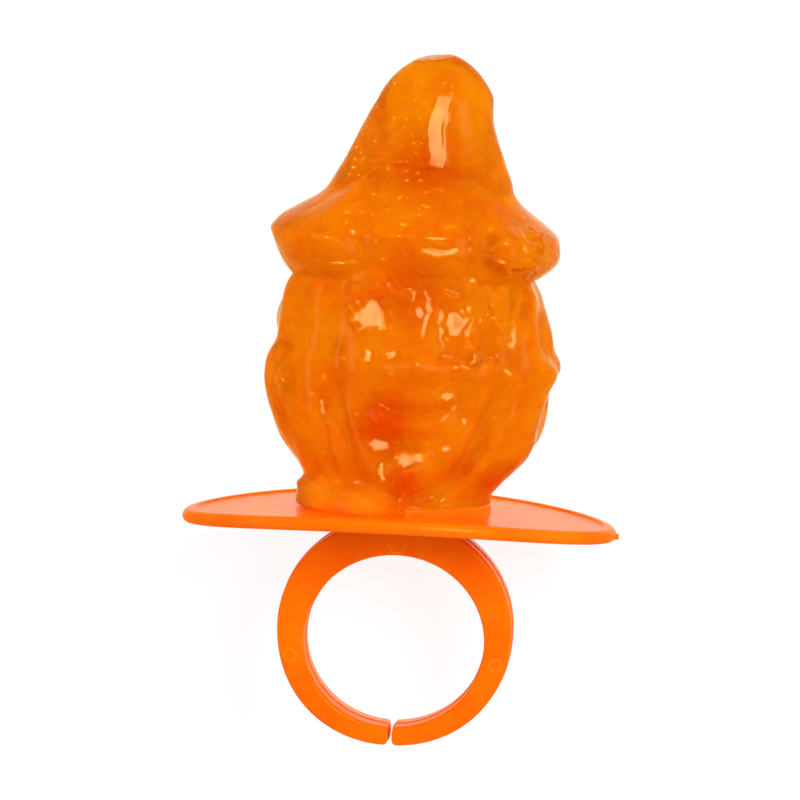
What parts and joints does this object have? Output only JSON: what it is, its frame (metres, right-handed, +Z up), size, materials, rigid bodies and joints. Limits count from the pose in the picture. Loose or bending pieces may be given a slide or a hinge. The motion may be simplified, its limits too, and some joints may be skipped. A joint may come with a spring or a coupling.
{
  "type": "ring lollipop",
  "caption": "Ring lollipop: a clear orange boiled-sweet witch's head in a pointed hat, on an orange plastic finger ring with an oval plate.",
  "frame": {"origin": "centre of the bounding box's base, on the surface that the lollipop lies on", "axes": "+Y from the finger ring to the hat's tip, +Z up out of the witch's face, +X to the right as the face is looked at with the hat up"},
  "size_m": [0.0438, 0.0692, 0.0298],
  "materials": {
    "plastic": "satin orange moulded plastic, slightly translucent",
    "sweet": "clear glossy orange boiled sugar with small bubbles"
  },
  "bodies": {
    "root": {"ring_base": "plastic", "witch_head": "sweet"}
  },
  "joints": []
}
